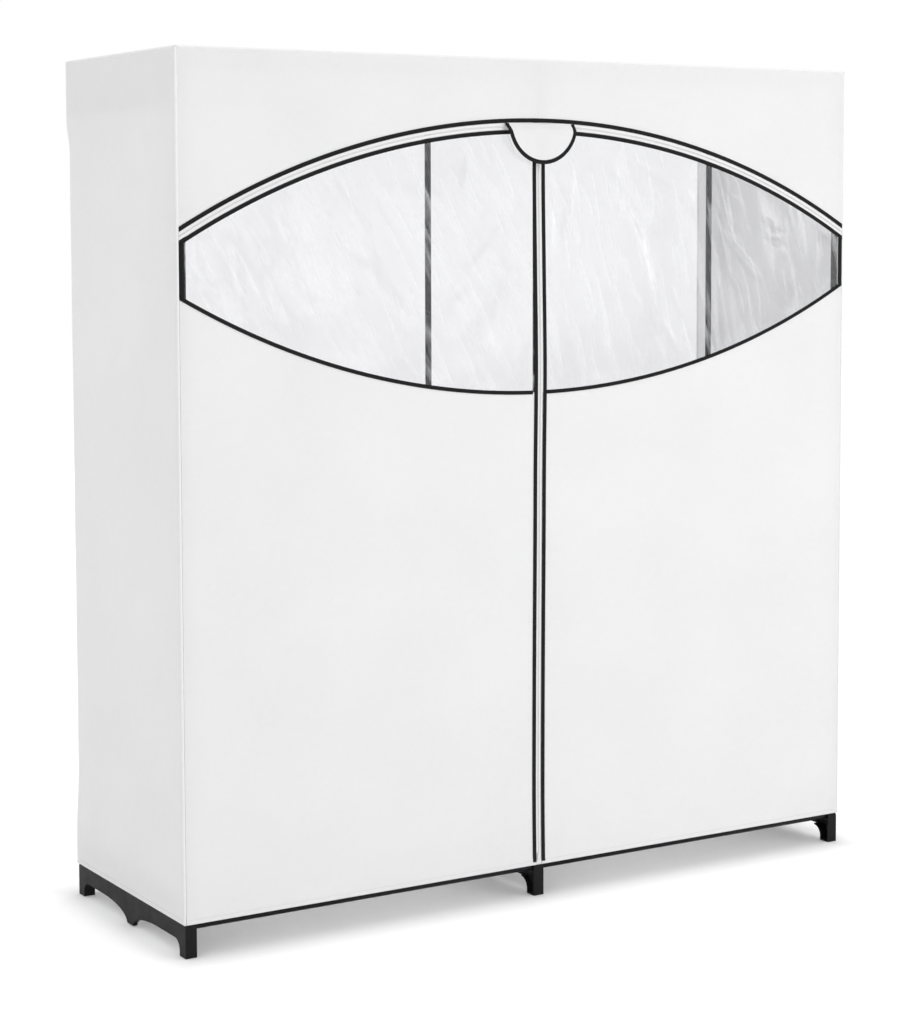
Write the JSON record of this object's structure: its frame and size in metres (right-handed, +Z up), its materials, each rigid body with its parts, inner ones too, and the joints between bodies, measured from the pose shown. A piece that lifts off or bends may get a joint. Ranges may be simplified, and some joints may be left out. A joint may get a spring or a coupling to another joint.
{
  "type": "portable fabric wardrobe",
  "caption": "Free-standing wardrobe with a zipped pale grey cloth cover, an arched clear window across its doors and a hidden frame of black tubes on moulded feet.",
  "frame": {"origin": "centre of the bounding box at floor level", "axes": "+X to the right as seen by someone who faces the doors, +Y to the back wall, +Z up"},
  "size_m": [1.524, 0.511, 1.626],
  "materials": {
    "cover_fabric": "matte non-woven cloth",
    "white_trim": "matte",
    "zip_tape": "matte woven tape",
    "clear_vinyl": "glossy clear film",
    "binding_tape": "matte",
    "black_plastic": "satin moulded",
    "black_tube": "satin coated",
    "slider_metal": "dark enamel"
  },
  "bodies": {
    "wardrobe": {"base_frame_left": "black_plastic", "base_frame_centre": "black_plastic", "base_frame_right": "black_plastic", "top_frame_left": "black_plastic", "top_frame_centre": "black_plastic", "top_frame_right": "black_plastic", "upright_front_left": "black_tube", "upright_front_centre": "black_tube", "upright_front_right": "black_tube", "upright_rear_left": "black_tube", "upright_rear_centre": "black_tube", "upright_rear_right": "black_tube", "lower_rail_front_left": "black_tube", "lower_rail_front_right": "black_tube", "lower_rail_rear_left": "black_tube", "lower_rail_rear_right": "black_tube", "upper_rail_front_left": "black_tube", "upper_rail_front_right": "black_tube", "upper_rail_rear_left": "black_tube", "upper_rail_rear_right": "black_tube", "hanging_rod_left": "black_tube", "hanging_rod_right": "black_tube", "cover_back": "cover_fabric", "cover_side_left": "cover_fabric", "cover_side_right": "cover_fabric", "cover_top": "cover_fabric", "valance": "cover_fabric", "piping_front_left": "white_trim", "piping_front_right": "white_trim", "piping_rear_left": "white_trim", "piping_rear_right": "white_trim", "piping_top_front": "white_trim", "piping_top_rear": "white_trim", "piping_top_left": "white_trim", "piping_top_right": "white_trim", "valance_binding": "binding_tape", "arch_zip_fixed": "zip_tape"},
    "door_left": {"door_panel_left": "cover_fabric", "door_window_left": "clear_vinyl", "window_top_binding_left": "binding_tape", "window_sill_binding_left": "binding_tape", "centre_binding_left": "binding_tape", "arch_zip_left": "zip_tape", "centre_zip_left": "zip_tape", "zip_retainer": "slider_metal"},
    "door_right": {"door_panel_right": "cover_fabric", "door_window_right": "clear_vinyl", "window_top_binding_right": "binding_tape", "window_sill_binding_right": "binding_tape", "centre_binding_right": "binding_tape", "arch_zip_right": "zip_tape", "centre_zip_right": "zip_tape"},
    "flap": {"zip_flap": "cover_fabric", "flap_binding": "binding_tape"},
    "arch_slider_left": {"arch_left_slider": "slider_metal"},
    "arch_slider_right": {"arch_right_slider": "slider_metal"},
    "centre_slider": {"centre_slider": "slider_metal"},
    "arch_pull_left": {"arch_left_pull": "slider_metal"},
    "arch_pull_right": {"arch_right_pull": "slider_metal"},
    "centre_pull": {"centre_pull": "slider_metal"}
  },
  "joints": [
    {"name": "door_left_hinge", "type": "hinge", "parent": "wardrobe", "child": "door_left", "pos_m": [-0.76, -0.23755, 0.8], "axis": [0, 0, -1], "range_deg": [0, 120], "deforming": ["zip_flap", "flap_binding"]},
    {"name": "door_right_hinge", "type": "hinge", "parent": "wardrobe", "child": "door_right", "pos_m": [0.76, -0.23755, 0.8], "axis": [0, 0, 1], "range_deg": [0, 120], "deforming": ["zip_flap", "flap_binding"]},
    {"name": "flap_lift", "type": "hinge", "parent": "wardrobe", "child": "flap", "pos_m": [0, -0.24075, 1.505], "axis": [-1, 0, 0], "range_deg": [0, 130]},
    {"name": "arch_slider_left_run", "type": "hinge", "parent": "door_left", "child": "arch_slider_left", "pos_m": [0, -0.23875, 0.00033], "axis": [0, -1, 0], "range_deg": [0, 28]},
    {"name": "arch_slider_right_run", "type": "hinge", "parent": "door_right", "child": "arch_slider_right", "pos_m": [0, -0.23875, 0.00033], "axis": [0, 1, 0], "range_deg": [0, 28]},
    {"name": "centre_slider_run", "type": "slide", "parent": "door_left", "child": "centre_slider", "axis": [0, 0, -1], "range_m": [0, 1.375]},
    {"name": "arch_pull_left_lift", "type": "hinge", "parent": "arch_slider_left", "child": "arch_pull_left", "pos_m": [-0.026, -0.24455, 1.49037], "axis": [-0.0174, 0, 0.9998], "range_deg": [0, 15]},
    {"name": "arch_pull_right_lift", "type": "hinge", "parent": "arch_slider_right", "child": "arch_pull_right", "pos_m": [0.026, -0.24455, 1.49037], "axis": [-0.0174, 0, -0.9998], "range_deg": [0, 15]},
    {"name": "centre_pull_lift", "type": "hinge", "parent": "centre_slider", "child": "centre_pull", "pos_m": [-0.0052, -0.24455, 1.46937], "axis": [-1, 0, 0], "range_deg": [0, 25]}
  ]
}
